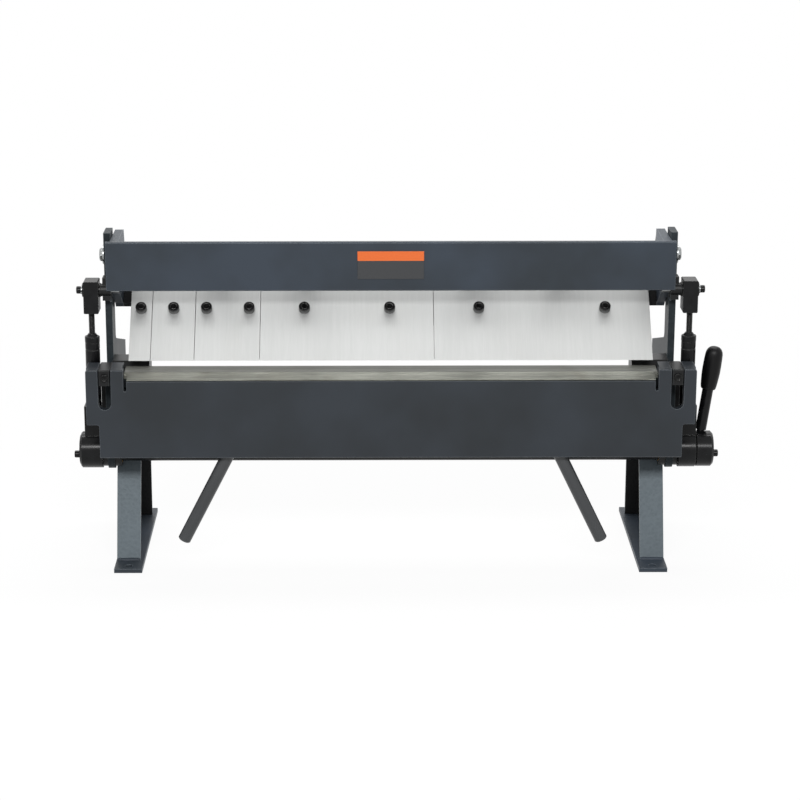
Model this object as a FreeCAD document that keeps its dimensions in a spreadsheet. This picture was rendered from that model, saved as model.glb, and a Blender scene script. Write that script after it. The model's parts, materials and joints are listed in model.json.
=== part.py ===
import FreeCAD, Part
import os
import re
import Sketcher
from FreeCAD import Rotation, Vector

# Box and pan brake, bench type, 610 mm of removable fingers.
# Frame: +X to the operator's right, +Y away from the operator, +Z up, millimetres.
# The origin is on the bench, at the middle of the four holes in the feet.
# Each sub-part is one labelled object; a group of identical fasteners is one object of separate solids.

# driving dimensions, each one a cell of the sheet
SIZES = {
    # feet and legs
    "foot_low_x": 292.5,
    "foot_high_x": 325.5,
    "foot_half_length": 115.0,
    "foot_thick": 5.0,
    "bolt_x": 309.0,
    "bolt_y": 104.0,
    "bolt_hole_radius": 4.5,
    "leg_low_x": 297.0,
    "leg_toe_y": -81.7,
    "leg_knee_y": -19.5,
    "back_y": 92.0,
    "leg_top_z": 190.0,
    "leg_wall": 4.0,
    # side plates
    "plate_low_x": 325.0,
    "plate_high_x": 333.0,
    "horn_front_y": -76.0,
    "horn_top_z": 236.0,
    "plate_bottom_z": 128.0,
    "upright_front_y": -52.0,
    "upright_back_y": -20.0,
    "upright_top_z": 394.5,
    "shoulder_z": 261.4,
    "tail_z": 231.5,
    "nose_radius": 16.5,
    # clamp shaft and its bearings
    "shaft_y": -59.5,
    "shaft_z": 129.7,
    "shaft_radius": 8.0,
    "journal_radius": 7.0,
    "running_fit": 0.05,
    "bush_radius": 10.0,
    "bearing_radius": 14.0,
    "bearing_low_x": 317.0,
    "bearing_high_x": 338.5,
    # bed
    "bed_front_y": -85.7,
    "bed_back_y": -69.5,
    "bed_half": 309.0,
    "bed_bottom_z": 150.0,
    "bed_block_low_x": 282.0,
    "bed_block_back_y": -34.0,
    "bed_block_bottom_z": 205.0,
    "bed_block_top_z": 245.0,
    # bending line
    "hinge_y": -86.0,
    "hinge_z": 240.0,
    "pin_radius": 4.0,
    "pivot_low_x": 324.0,
    "pivot_high_x": 337.0,
    "pivot_bottom_z": 227.5,
    "ear_top_z": 246.5,
    "lock_screw_z": 237.0,
    "pad_high_x": 338.2,
    "pad_bottom_z": 178.0,
    "pad_back_y": -44.0,
    # apron
    "apron_half": 352.0,
    "apron_front_y": -114.0,
    "apron_back_y": -104.0,
    "apron_bottom_z": 140.8,
    "apron_nose_z": 234.0,
    "knuckle_radius": 10.5,
    "slot_low_x": 323.0,
    "slot_high_x": 338.0,
    "slot_bottom_z": 199.0,
    "nose_half": 304.8,
    "nose_reach": 308.6,
    "nose_groove": 1.0,
    "slit_high_x": 308.4,
    "ear_low_x": 310.4,
    "slit_bottom_z": 221.0,
    "notch_x": 337.5,
    "notch_z": 181.0,
    "handle_y": -96.0,
    "handle_radius": 7.6,
    "handle_end_z": 34.4,
    "right_end_x": 248.7,
    "right_splay": 26.0,
    "left_end_x": 243.8,
    "left_splay": 27.15,
    "handle_length": 158.0,
    # clamp
    "throw": 8.5,
    "throw_angle": 122.0,
    "eccentric_radius": 17.3,
    "strap_radius": 21.5,
    "strap_low_x": 339.0,
    "left_strap_high_x": 364.4,
    "right_strap_high_x": 360.0,
    "left_cam_high_x": 365.7,
    "hub_low_x": 360.4,
    "hub_high_x": 379.8,
    "hub_radius": 21.0,
    "hub_flat_z": 157.7,
    "lever_x": 366.5,
    "lever_y": -60.5,
    "lever_root_z": 160.0,
    "stud_radius": 4.5,
    "stud_depth": 10.0,
    "lever_tilt": 7.8,
    "lever_radius": 6.4,
    "grip_bottom_z": 209.0,
    "grip_length": 51.5,
    "grip_radius": 10.8,
    "end_screw_length": 8.0,
    "end_screw_radius": 4.2,
    # links
    "link_x": 348.0,
    "link_y": -64.0,
    "neck_half": 10.0,
    "neck_high_x": 359.2,
    "neck_top_z": 192.0,
    "barrel_radius": 8.5,
    "barrel_top_z": 268.0,
    "lock_nut_top_z": 275.0,
    "rod_radius": 3.7,
    "head_low_x": 338.3,
    "head_high_x": 355.6,
    "head_half": 12.0,
    "head_bottom_z": 304.0,
    "head_top_z": 341.9,
    "link_pin_z": 330.0,
    "link_pin_radius": 4.0,
    "head_hole_radius": 5.2,
    "head_hole_y": -63.2,
    "head_hole_z": 329.7,
    # beam
    "clamp_drop": 9.5,
    "hood_front_y": -74.0,
    "hood_back_y": -68.0,
    "hood_half": 329.0,
    "hood_bottom_z": 330.5,
    "hood_top_z": 388.1,
    "cheek_low_x": 315.0,
    "cheek_high_x": 324.5,
    "cheek_top_z": 387.6,
    "cheek_back_y": 3.0,
    "gusset_x": 306.8,
    "gusset_thick": 6.0,
    "bracket_high_x": 334.0,
    "bracket_back_y": -52.5,
    "bracket_bottom_z": 318.0,
    "bracket_top_z": 345.0,
    "boss_radius": 7.5,
    "boss_high_x": 336.4,
    "guide_y": -36.0,
    "guide_z": 366.0,
    "guide_radius": 5.0,
    "guide_gap": 0.3,
    "guide_washer_radius": 11.3,
    "guide_washer_thick": 2.0,
    "guide_head_radius": 8.0,
    "guide_head_high": 3.8,
    "rear_guide_y": -19.5,
    "rear_guide_depth": 7.5,
    "mount_low": 56.5,
    "mount_end_low": 82.9,
    "mount_high": 137.0,
    "mount_thick": 8.0,
    "rib_x": 101.6,
    "rib_thick": 6.0,
    "label_half": 38.3,
    "label_low_z": 344.8,
    "label_high_z": 377.3,
    "label_thick": 1.0,
    # fingers
    "tip_y": -84.0,
    "tip_z": 250.0,
    "finger_slope": 47.0,
    "finger_thick": 10.0,
    "finger_length": 112.0,
    "finger_seam": 0.5,
    "screw_along": 68.4,
    "screw_head_radius": 6.5,
    "screw_head_high": 8.0,
    "screw_radius": 4.0,
    "inch": 25.4,
}

# finger widths in inches, from the left, and how far their screws stand from the middle, in millimetres
FINGERS = [
    ("finger_1_inch", 1, [0]),
    ("finger_2_inch", 2, [0]),
    ("finger_3_inch", 3, [-25, 25]),
    ("finger_8_inch", 8, [-50, 50]),
    ("finger_10_inch", 10, [-74, 74]),
]
FINGERS_WIDE = 24

doc = FreeCAD.newDocument("box_and_pan_brake")
sheet = doc.addObject("Spreadsheet::Sheet", "Sizes")
for row, (alias, number) in enumerate(SIZES.items(), start=1):
    sheet.set(f"A{row}", alias)
    sheet.set(f"B{row}", str(number))
    sheet.setAlias(f"B{row}", alias)
probe = doc.addObject("App::FeaturePython", "Probe")
probe.addProperty("App::PropertyFloat", "Value")
doc.recompute()

nodes = []


def size(alias):
    """The number in a cell of the sheet."""
    return float(sheet.get(alias))


def bound(text):
    """The same expression with every alias written as a cell of the sheet."""
    def cell(word):
        return "Sizes." + word.group() if word.group() in SIZES else word.group()
    return re.sub(r"[a-z_]+", cell, text)


def bind(item, **expressions):
    """Ties properties of an object to the sheet."""
    for name, text in expressions.items():
        item.setExpression(name, bound(text))


def place(item, x, y, z):
    """Ties an object's position to the sheet."""
    for axis, text in zip("xyz", (x, y, z)):
        item.setExpression("Placement.Base." + axis, bound(text))


def node(item, label):
    """Names an object as a finished sub-part."""
    item.Label = label
    nodes.append(item)
    return item


def block(x, y, z):
    """A box between two corners; x, y and z are each a (low, high) pair of expressions."""
    item = doc.addObject("Part::Box", "block")
    spans = [f"({high}) - ({low})" for low, high in (x, y, z)]
    bind(item, Length=spans[0], Width=spans[1], Height=spans[2])
    place(item, x[0], y[0], z[0])
    return item


TURNS = {
    "x": Rotation(Vector(0, 1, 0), 90),
    "y": Rotation(Vector(1, 0, 0), -90),
    "z": Rotation(),
}


def bar(axis, start, length, radius):
    """A round bar along x, y or z from a start point."""
    item = doc.addObject("Part::Cylinder", "bar")
    item.Placement.Rotation = TURNS[axis]
    bind(item, Radius=radius, Height=length)
    place(item, *start)
    return item


def tilted_bar(axis, angle, start, length, radius):
    """A round bar that starts upright and is turned about an axis by an angle of the sheet."""
    item = doc.addObject("Part::Cylinder", "bar")
    item.Placement.Rotation = Rotation(axis, 1)
    bind(item, Radius=radius, Height=length)
    item.setExpression("Placement.Rotation.Angle", bound(angle))
    place(item, *start)
    return item


def origin_plane(body, role):
    """A body's own origin plane."""
    return next(plane for plane in body.Origin.OriginFeatures if plane.Role == role)


def outline(sketch, points):
    """Draws a closed outline in a sketch, with each corner dimensioned from the sheet."""
    count = len(points)
    doc.recompute()
    corners = [[sheet_value(text) for text in point] for point in points]
    for start in range(count):
        first = Vector(*corners[start], 0)
        second = Vector(*corners[(start + 1) % count], 0)
        sketch.addGeometry(Part.LineSegment(first, second), False)
    for start in range(count):
        sketch.addConstraint(Sketcher.Constraint("Coincident", start, 2, (start + 1) % count, 1))
    for start, point in enumerate(points):
        for kind, text, value in zip(("DistanceX", "DistanceY"), point, corners[start]):
            index = sketch.addConstraint(Sketcher.Constraint(kind, start, 1, value))
            sketch.setExpression(f"Constraints[{index}]", bound(text))


def sheet_value(text):
    """Works out an expression with the numbers of the sheet."""
    probe.setExpression("Value", bound(text))
    probe.recompute()
    return probe.Value


def padded(role, points, low, high):
    """A body whose outline lies in an origin plane and is padded between two heights over it."""
    body = doc.addObject("PartDesign::Body", "body")
    sketch = body.newObject("Sketcher::SketchObject", "outline")
    sketch.AttachmentSupport = [(origin_plane(body, role), "")]
    sketch.MapMode = "FlatFace"
    sketch.setExpression("AttachmentOffset.Base.z", bound(low))
    outline(sketch, points)
    pad = body.newObject("PartDesign::Pad", "pad")
    pad.Profile = sketch
    bind(pad, Length=f"({high}) - ({low})")
    doc.recompute()
    return body


def side_on(points, low, high):
    """A body with its outline in y and z, from x = low to x = high."""
    return padded("YZ_Plane", points, low, high)


def top_on(points, low, high):
    """A body with its outline in x and y, from z = low to z = high."""
    return padded("XY_Plane", points, low, high)


def cut(base, *tools):
    """The base less its tools, checked to be smaller."""
    item = doc.addObject("Part::Cut", "cut")
    item.Base = base
    item.Tool = joined(*tools) if len(tools) > 1 else tools[0]
    item.Refine = True
    doc.recompute()
    assert item.Shape.Volume < base.Shape.Volume - 0.01, f"a tool misses {base.Name}"
    return item


def joined(*parts):
    """Several solids as one object; those that touch become one solid."""
    item = doc.addObject("Part::MultiFuse", "joined")
    item.Shapes = list(parts)
    item.Refine = True
    doc.recompute()
    return item


def grouped(*parts):
    """Several separate solids as one object."""
    item = doc.addObject("Part::Compound", "group")
    item.Links = list(parts)
    doc.recompute()
    return item


def mirrored(source):
    """The same piece on the other side."""
    item = doc.addObject("Part::Mirroring", "mirrored")
    item.Source = source
    item.Base = Vector(0, 0, 0)
    item.Normal = Vector(1, 0, 0)
    doc.recompute()
    return item


def pair(source, name):
    """Names a right-hand piece and makes its left-hand twin."""
    node(source, "right_" + name)
    node(mirrored(source), "left_" + name)


def edged(base, kind, amount, wanted):
    """Chamfers or fillets the straight edges that a test picks by their middle point and direction."""
    doc.recompute()
    picked = []
    for index, edge in enumerate(base.Shape.Edges, start=1):
        if isinstance(edge.Curve, Part.Line) and edge.Length > 0.5:
            middle = edge.valueAt((edge.FirstParameter + edge.LastParameter) / 2)
            if wanted(middle, edge.tangentAt(edge.FirstParameter)):
                picked.append((index, amount, amount))
    return worked(base, kind, picked)


def rim(base, amount, wanted):
    """Chamfers the round edges that a test picks by their centre."""
    doc.recompute()
    picked = [
        (index, amount, amount)
        for index, edge in enumerate(base.Shape.Edges, start=1)
        if isinstance(edge.Curve, Part.Circle) and wanted(edge.Curve.Center)
    ]
    return worked(base, "Chamfer", picked)


def worked(base, kind, picked):
    """A fillet or chamfer on the picked edges."""
    assert picked, f"no edge of {base.Name} is picked"
    item = doc.addObject("Part::" + kind, "worked")
    item.Base = base
    item.Edges = picked
    doc.recompute()
    return item


def near(value, target):
    """True when two lengths are the same."""
    return abs(value - target) < 0.05


def feet_and_legs():
    """Flat feet with two bolt holes each, and legs with a sloping front, open on the inside."""
    foot = block(
        ("foot_low_x", "foot_high_x"),
        ("-foot_half_length", "foot_half_length"),
        ("0", "foot_thick"),
    )
    holes = [
        bar("z", ("bolt_x", y, "-1"), "foot_thick + 2", "bolt_hole_radius")
        for y in ("bolt_y", "-bolt_y")
    ]
    pair(cut(foot, *holes), "foot")
    leg = side_on(
        [
            ("leg_toe_y", "foot_thick"),
            ("back_y", "foot_thick"),
            ("back_y", "leg_top_z"),
            ("leg_knee_y", "leg_top_z"),
        ],
        "leg_low_x",
        "plate_low_x",
    )
    hollow = side_on(
        [
            ("leg_toe_y + leg_wall", "foot_thick - 1"),
            ("back_y - leg_wall", "foot_thick - 1"),
            ("back_y - leg_wall", "leg_top_z - leg_wall"),
            ("leg_knee_y + leg_wall", "leg_top_z - leg_wall"),
        ],
        "leg_low_x - 1",
        "plate_low_x - leg_wall",
    )
    pair(cut(leg, hollow), "leg")


def side_plates():
    """Side plates: an upright that guides the beam, a deep tail, a horn for the hinge and a rounded nose."""
    plate = side_on(
        [
            ("horn_front_y", "shaft_z"),
            ("horn_front_y", "horn_top_z"),
            ("upright_front_y", "horn_top_z"),
            ("upright_front_y", "upright_top_z"),
            ("upright_back_y", "upright_top_z"),
            ("upright_back_y", "shoulder_z"),
            ("back_y", "tail_z"),
            ("back_y", "plate_bottom_z"),
            ("shaft_y", "plate_bottom_z"),
        ],
        "plate_low_x",
        "plate_high_x",
    )
    shoulder = (size("upright_back_y"), size("shoulder_z"))
    step = (size("upright_front_y"), size("horn_top_z"))
    plate = edged(plate, "Fillet", 9, runs_at(shoulder))
    plate = edged(plate, "Fillet", 3, runs_at(step))
    thick = "plate_high_x - plate_low_x"
    plate = joined(plate, bar("x", ("plate_low_x", "shaft_y", "shaft_z"), thick, "nose_radius"))
    inner = "plate_low_x - 1"
    through = "plate_high_x - plate_low_x + 2"
    wide = "(guide_radius + guide_gap)"
    slot = joined(
        bar("x", (inner, "guide_y", "guide_z"), through, wide),
        bar("x", (inner, "guide_y", "guide_z - clamp_drop"), through, wide),
        block(
            (inner, "plate_high_x + 1"),
            (f"guide_y - {wide}", f"guide_y + {wide}"),
            ("guide_z - clamp_drop", "guide_z"),
        ),
    )
    seat = bar("x", (inner, "shaft_y", "shaft_z"), through, "bearing_radius")
    pair(cut(plate, slot, seat), "side_plate")
    start = ("bearing_low_x", "shaft_y", "shaft_z")
    before = ("bearing_low_x - 1", "shaft_y", "shaft_z")
    length = "bearing_high_x - bearing_low_x"
    past = length + " + 2"
    bearing = cut(bar("x", start, length, "bearing_radius"), bar("x", before, past, "bush_radius"))
    node(grouped(bearing, mirrored(bearing)), "shaft_bearings")
    bush = cut(bar("x", start, length, "bush_radius"), bar("x", before, past, "shaft_radius + running_fit"))
    node(grouped(bush, mirrored(bush)), "shaft_bushes")


def runs_at(spot):
    """A test for edges along x at one y and z."""
    def test(middle, run):
        return near(abs(run.x), 1) and near(middle.y, spot[0]) and near(middle.z, spot[1])
    return test


def goes_through(x, z):
    """A test for edges along y at one z and the same x on either side."""
    def test(middle, run):
        return near(abs(run.y), 1) and near(abs(middle.x), x) and near(middle.z, z)
    return test


def bed():
    """The bed bar under the finger tips, the blocks that carry its ends, and their screws."""
    plain = block(("-bed_half", "bed_half"), ("bed_front_y", "bed_back_y"), ("bed_bottom_z", "hinge_z"))
    low = size("bed_bottom_z")
    bed_bar = edged(plain, "Chamfer", 2, lambda middle, run: near(middle.z, low) and near(abs(run.x), 1))
    screw_x = "(bed_block_low_x + bed_half) / 2"
    screws = []
    taps = []
    holes = []
    for z in ("bed_block_bottom_z + 8", "bed_block_top_z - 14"):
        start = (screw_x, "bed_back_y - 10", z)
        shank = bar("y", start, "bed_block_back_y - bed_back_y + 10", "4")
        head = bar("y", (screw_x, "bed_block_back_y", z), "8", "6.5")
        key = hexagon("y", (screw_x, "bed_block_back_y + 4.5", z), "4", "3.46")
        screws.append(cut(joined(shank, head), key))
        taps += [bar("y", start, "12", "4"), mirrored(bar("y", start, "12", "4"))]
        holes.append(bar("y", (screw_x, "bed_back_y - 1", z), "bed_block_back_y - bed_back_y + 2", "4.3"))
    node(cut(bed_bar, *taps), "bed_bar")
    carrier = side_on(
        [
            ("bed_back_y", "bed_block_bottom_z"),
            ("bed_block_back_y", "bed_block_bottom_z"),
            ("bed_block_back_y", "bed_block_top_z"),
            ("bed_back_y + 6", "bed_block_top_z"),
            ("bed_back_y", "bed_block_top_z - 6"),
        ],
        "bed_block_low_x",
        "plate_low_x",
    )
    carrier = cut(carrier, *holes)
    node(grouped(carrier, mirrored(carrier)), "bed_blocks")
    node(grouped(*screws, *[mirrored(screw) for screw in screws]), "bed_screws")


def hexagon(axis, start, depth, radius):
    """A six-sided bar along an axis, for a bolt's head or the socket in a screw."""
    item = doc.addObject("Part::Prism", "hexagon")
    item.Polygon = 6
    item.Placement.Rotation = TURNS[axis]
    bind(item, Circumradius=radius, Height=depth)
    place(item, *start)
    return item


def pivots():
    """Pivot blocks that carry the apron's pins, the screws that lock the pins, and pads behind them."""
    plain = block(
        ("pivot_low_x", "pivot_high_x"),
        ("apron_front_y", "horn_front_y"),
        ("pivot_bottom_z", "ear_top_z"),
    )
    front = size("apron_front_y")
    plain = edged(plain, "Chamfer", 0.8, lambda middle, run: near(middle.y, front))
    centre_x = "(pivot_low_x + pivot_high_x) / 2"
    shank = bar("y", (centre_x, "apron_front_y - 1", "lock_screw_z"), "hinge_y - apron_front_y", "3")
    recess = bar("y", (centre_x, "apron_front_y - 1", "lock_screw_z"), "5", "5.2")
    width = "pivot_high_x - pivot_low_x + 2"
    bore = bar("x", ("pivot_low_x - 1", "hinge_y", "hinge_z"), width, "pin_radius")
    pair(cut(plain, shank, recess, bore), "pivot_block")
    screw = joined(
        bar("y", (centre_x, "apron_front_y + 4", "lock_screw_z"), "hinge_y - apron_front_y - 8.05", "3"),
        bar("y", (centre_x, "apron_front_y - 2", "lock_screw_z"), "6", "5"),
    )
    screw = cut(screw, hexagon("y", (centre_x, "apron_front_y - 3", "lock_screw_z"), "4", "2.88"))
    node(grouped(screw, mirrored(screw)), "pin_lock_screws")
    pin = bar("x", ("ear_low_x + 0.4", "hinge_y", "hinge_z"), "apron_half - ear_low_x - 1.4", "pin_radius")
    node(grouped(pin, mirrored(pin)), "hinge_pins")
    pad = block(
        ("plate_high_x", "pad_high_x"),
        ("horn_front_y + 2", "pad_back_y"),
        ("pad_bottom_z", "horn_top_z"),
    )
    node(grouped(pad, mirrored(pad)), "pivot_pads")


def apron():
    """The bending leaf: a thick slotted front plate, hinge ears, a bare nose bar and two handles."""
    plate = side_on(
        [
            ("apron_front_y", "apron_bottom_z + 1"),
            ("apron_front_y + 1", "apron_bottom_z"),
            ("apron_back_y", "apron_bottom_z"),
            ("apron_back_y", "ear_top_z"),
            ("apron_front_y + 0.8", "ear_top_z"),
            ("apron_front_y", "ear_top_z - 0.8"),
        ],
        "-apron_half",
        "apron_half",
    )
    reach = ("apron_front_y - 1", "apron_back_y + 1")
    depth = "apron_back_y - apron_front_y + 2"
    lip = ("apron_nose_z - nose_groove", "ear_top_z + 1")
    tools = [block(("-nose_half - 0.1", "nose_half + 0.1"), reach, lip)]
    for side in ("", "-"):
        slit = span(side, "nose_half", "slit_high_x")
        slot = span(side, "slot_low_x", "slot_high_x")
        slit_radius = "(slit_high_x - nose_half) / 2"
        slot_radius = "(slot_high_x - slot_low_x) / 2"
        slit_end = (f"{side}(nose_half + slit_high_x) / 2", reach[0], f"slit_bottom_z + {slit_radius}")
        slot_end = (f"{side}(slot_low_x + slot_high_x) / 2", reach[0], f"slot_bottom_z + {slot_radius}")
        tools += [
            block(slit, reach, (slit_end[2], "ear_top_z + 1")),
            bar("y", slit_end, depth, slit_radius),
            block(slot, reach, (slot_end[2], "ear_top_z + 1")),
            bar("y", slot_end, depth, slot_radius),
            block(span(side, "notch_x", "apron_half + 1"), reach, ("apron_bottom_z - 1", "notch_z")),
        ]
    plate = cut(plate, *tools)
    plate = edged(plate, "Fillet", 3, goes_through(size("notch_x"), size("notch_z")))
    plate = edged(plate, "Chamfer", 2, goes_through(size("apron_half"), size("ear_top_z")))
    screw_places = ["-nose_half + 20", "-nose_half / 2", "0", "nose_half / 2", "nose_half - 20"]
    taps = [bar("y", (x, "apron_front_y + 3", "apron_nose_z - 7"), "8", "3") for x in screw_places]
    node(cut(plate, *taps), "apron_plate")
    ears = [ear("ear_low_x", "slot_low_x"), ear("slot_high_x", "apron_half")]
    node(grouped(*ears, *[mirrored(item) for item in ears]), "apron_ears")
    lip = side_on(
        [
            ("hinge_y - 12", "hinge_z"),
            ("apron_front_y", "apron_nose_z + 0.8"),
            ("apron_front_y", "apron_nose_z"),
            ("hinge_y - 12", "apron_nose_z"),
        ],
        "-nose_half",
        "nose_half",
    )
    spine = side_on(
        [
            ("hinge_y - 0.3", "hinge_z"),
            ("hinge_y - 12", "hinge_z"),
            ("apron_back_y + 0.4", "hinge_z - 2"),
            ("apron_back_y + 0.4", "apron_nose_z - 12"),
            ("hinge_y - 8", "apron_nose_z - 12"),
            ("hinge_y - 0.3", "apron_nose_z - 4"),
        ],
        "-nose_reach",
        "nose_reach",
    )
    seat = block(
        ("-nose_half", "nose_half"),
        ("apron_back_y", "apron_back_y + 1"),
        ("apron_nose_z - 12", "apron_nose_z"),
    )
    nose = joined(lip, spine, seat)
    holes = []
    screws = []
    for x in screw_places:
        holes += [
            bar("y", (x, "apron_back_y - 1", "apron_nose_z - 7"), "12", "3.2"),
            bar("y", (x, "apron_back_y + 5", "apron_nose_z - 7"), "20", "5.2"),
        ]
        shank = bar("y", (x, "apron_front_y + 3", "apron_nose_z - 7"), "13", "3")
        head = bar("y", (x, "apron_back_y + 5.05", "apron_nose_z - 7"), "5", "5")
        key = hexagon("y", (x, "apron_back_y + 7", "apron_nose_z - 7"), "4", "2.88")
        screws.append(cut(joined(shank, head), key))
    node(cut(nose, *holes), "apron_nose_bar")
    node(grouped(*screws), "nose_bar_screws")
    handles()


def span(side, near_x, far_x):
    """The two ends of a span on one side of the middle, the lower first."""
    if side:
        return (f"-({far_x})", f"-({near_x})")
    return (near_x, far_x)


def ear(low, high):
    """One hinge ear behind the plate, rounded about the hinge line so that it clears the side plate."""
    web = side_on(
        [
            ("apron_back_y", "hinge_z - 27"),
            ("hinge_y + 7", "hinge_z - 8"),
            ("hinge_y + 7", "ear_top_z"),
            ("apron_back_y", "ear_top_z"),
        ],
        low,
        high,
    )
    width = f"({high}) - ({low})"
    knuckle = bar("x", (low, "hinge_y", "hinge_z"), width, "knuckle_radius")
    over = block(
        (f"{low} - 1", f"{high} + 1"),
        ("hinge_y - 12", "hinge_y + 12"),
        ("ear_top_z", "ear_top_z + 20"),
    )
    bore = bar("x", (f"{low} - 1", "hinge_y", "hinge_z"), f"{width} + 2", "pin_radius + running_fit")
    return cut(joined(web, knuckle), over, bore)


def handles():
    """Two splayed handles, each set in a socket behind the plate."""
    right, right_socket = handle("right")
    left, left_socket = handle("left")
    node(right, "right_handle")
    node(mirrored(left), "left_handle")
    node(grouped(right_socket, mirrored(left_socket)), "handle_sockets")


def handle(side):
    """One handle and its socket, both drawn on the right."""
    end_x = side + "_end_x"
    splay = side + "_splay"
    end = (end_x, "handle_y", "handle_end_z")
    rod = tilted_bar(Vector(0, 1, 0), "-" + splay, end, "handle_length", "handle_radius")
    low_rim = size("handle_end_z") + 5
    rod = rim(rod, 1.2, lambda centre: centre.z < low_rim)
    socket = doc.addObject("Part::Box", "socket")
    socket.Placement.Rotation = Rotation(Vector(0, 1, 0), 1)
    bind(socket, Length="22", Width="bed_front_y - apron_back_y - 1.8", Height="39")
    socket.setExpression("Placement.Rotation.Angle", bound("-" + splay))
    low = "handle_length - 33"
    place(
        socket,
        f"{end_x} - ({low}) * sin({splay}) - 11 * cos({splay})",
        "apron_back_y",
        f"handle_end_z + ({low}) * cos({splay}) - 11 * sin({splay})",
    )
    return rod, cut(socket, rod)


def clamp_shaft():
    """The cross shaft with a cam at each end, the lever's hub, the lever, its grip and the end screws."""
    centre = ("shaft_y + throw * cos(throw_angle)", "shaft_z + throw * sin(throw_angle)")
    whole_length = "left_cam_high_x + hub_high_x"
    journal = joined(
        bar("x", ("-bearing_high_x", "shaft_y", "shaft_z"), "2 * bearing_high_x", "shaft_radius"),
        bar("x", ("-left_cam_high_x", "shaft_y", "shaft_z"), whole_length, "journal_radius"),
    )
    screws = []
    taps = []
    left_end = "-left_cam_high_x - end_screw_length"
    for head_low, tap_low, key_low in (
        ("hub_high_x", "hub_high_x - 14", "hub_high_x + end_screw_length - 3"),
        (left_end, "-left_cam_high_x", left_end + " - 1"),
    ):
        head = bar("x", (head_low, "shaft_y", "shaft_z"), "end_screw_length", "end_screw_radius")
        shank = bar("x", (tap_low, "shaft_y", "shaft_z"), "14", "2.5")
        key = hexagon("x", (key_low, "shaft_y", "shaft_z"), "4", "2.3")
        screws.append(cut(joined(head, shank), key))
        taps.append(bar("x", (tap_low, "shaft_y", "shaft_z"), "14", "2.5"))
    node(cut(journal, *taps), "cross_shaft")
    node(grouped(*screws), "shaft_end_screws")
    for name, low, high in (
        ("right_cam", "strap_low_x + 0.3", "hub_low_x"),
        ("left_cam", "-left_cam_high_x", "-strap_low_x - 0.3"),
    ):
        width = f"({high}) - ({low})"
        bore = bar("x", (f"{low} - 1", "shaft_y", "shaft_z"), f"{width} + 2", "journal_radius")
        node(cut(bar("x", (low, *centre), width, "eccentric_radius"), bore), name)
    hub = bar("x", ("hub_low_x", *centre), "hub_high_x - hub_low_x", "hub_radius")
    face = size("hub_high_x")
    hub = rim(hub, 2.5, lambda spot: near(spot.x, face))
    over = block(
        ("hub_low_x - 1", "hub_high_x + 1"),
        ("link_y - 30", "link_y + 30"),
        ("hub_flat_z", "hub_flat_z + 20"),
    )
    bore = bar("x", ("hub_low_x - 1", "shaft_y", "shaft_z"), "hub_high_x - hub_low_x + 2", "journal_radius")
    sideways = Vector(0, 1, 0)
    root = ("lever_x", "lever_y", "lever_root_z")
    sunk = (
        "lever_x - stud_depth * sin(lever_tilt)",
        "lever_y",
        "lever_root_z - stud_depth * cos(lever_tilt)",
    )
    rod = joined(
        tilted_bar(sideways, "lever_tilt", root, "grip_bottom_z - lever_root_z + 42", "lever_radius"),
        tilted_bar(sideways, "lever_tilt", sunk, "stud_depth + 1", "stud_radius"),
    )
    node(cut(hub, over, bore, rod), "lever_hub")
    node(rod, "lever_rod")
    grip(rod)


def grip(rod):
    """A tapered grip with a domed end, turned about the lever's axis."""
    body = doc.addObject("PartDesign::Body", "grip")
    sketch = body.newObject("Sketcher::SketchObject", "profile")
    sketch.AttachmentSupport = [(origin_plane(body, "XZ_Plane"), "")]
    sketch.MapMode = "FlatFace"
    outline(
        sketch,
        [
            ("0", "0"),
            ("grip_radius - 2.6", "0"),
            ("grip_radius - 1.5", "3"),
            ("grip_radius - 0.8", "11"),
            ("grip_radius", "18"),
            ("grip_radius - 0.2", "grip_length - 19"),
            ("grip_radius - 0.4", "grip_length - 10"),
            ("grip_radius - 1.2", "grip_length - 6"),
            ("grip_radius - 3.3", "grip_length - 2.5"),
            ("grip_radius - 6.6", "grip_length - 0.5"),
            ("0", "grip_length"),
        ],
    )
    turn = body.newObject("PartDesign::Revolution", "turn")
    turn.Profile = sketch
    turn.ReferenceAxis = (sketch, ["V_Axis"])
    turn.Angle = 360
    doc.recompute()
    whole = doc.addObject("Part::Compound", "turned")
    whole.Links = [body]
    whole.Placement.Rotation = Rotation(Vector(0, 1, 0), 1)
    whole.setExpression("Placement.Rotation.Angle", bound("lever_tilt"))
    rise = "(grip_bottom_z - lever_root_z)"
    place(whole, f"lever_x + {rise} * tan(lever_tilt)", "lever_y", "grip_bottom_z")
    node(cut(whole, rod), "lever_grip")


def links():
    """Each link: a strap round the cam, a barrel, a lock nut, a threaded rod and a head."""
    link("right", "", "right_strap_high_x")
    link("left", "-", "left_strap_high_x")


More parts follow.
